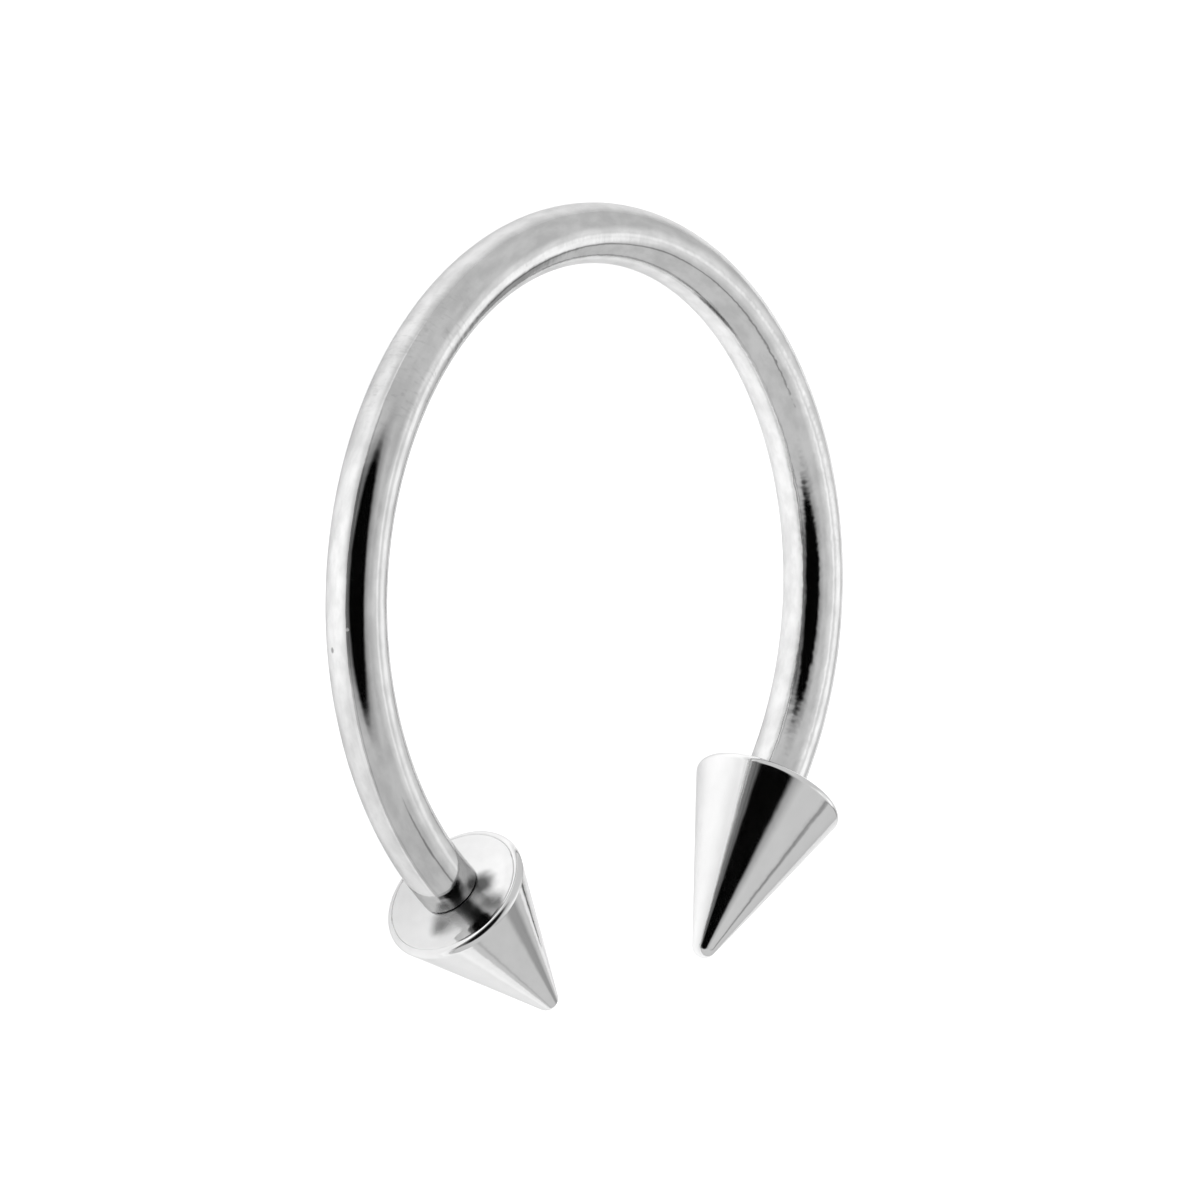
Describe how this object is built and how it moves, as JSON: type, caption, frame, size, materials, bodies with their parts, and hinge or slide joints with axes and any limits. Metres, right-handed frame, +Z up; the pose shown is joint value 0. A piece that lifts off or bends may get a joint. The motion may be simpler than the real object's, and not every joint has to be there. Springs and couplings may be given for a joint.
{
  "type": "horseshoe barbell",
  "caption": "Open ring of round polished steel wire with a screw-on cone at each end, lying on its side.",
  "frame": {"origin": "on the surface that the ring lies on, under the middle of its box", "axes": "+Z up, +Y towards the bow of the ring, +X towards the right cone"},
  "size_m": [0.0152, 0.0154, 0.003],
  "materials": {
    "bar_steel": "polished surgical steel with fine draw and bend marks",
    "cone_steel": "turned and mirror polished surgical steel"
  },
  "bodies": {
    "bar": {"bar": "bar_steel"},
    "left_cone": {"left_cone": "cone_steel"},
    "right_cone": {"right_cone": "cone_steel"}
  },
  "joints": [
    {"name": "left_cone_unscrews", "type": "slide", "parent": "bar", "child": "left_cone", "axis": [0.682, -0.7293, 0.0545], "range_m": [0, 0.0024]},
    {"name": "right_cone_unscrews", "type": "slide", "parent": "bar", "child": "right_cone", "axis": [-0.682, -0.7293, 0.0545], "range_m": [0, 0.0024]}
  ]
}
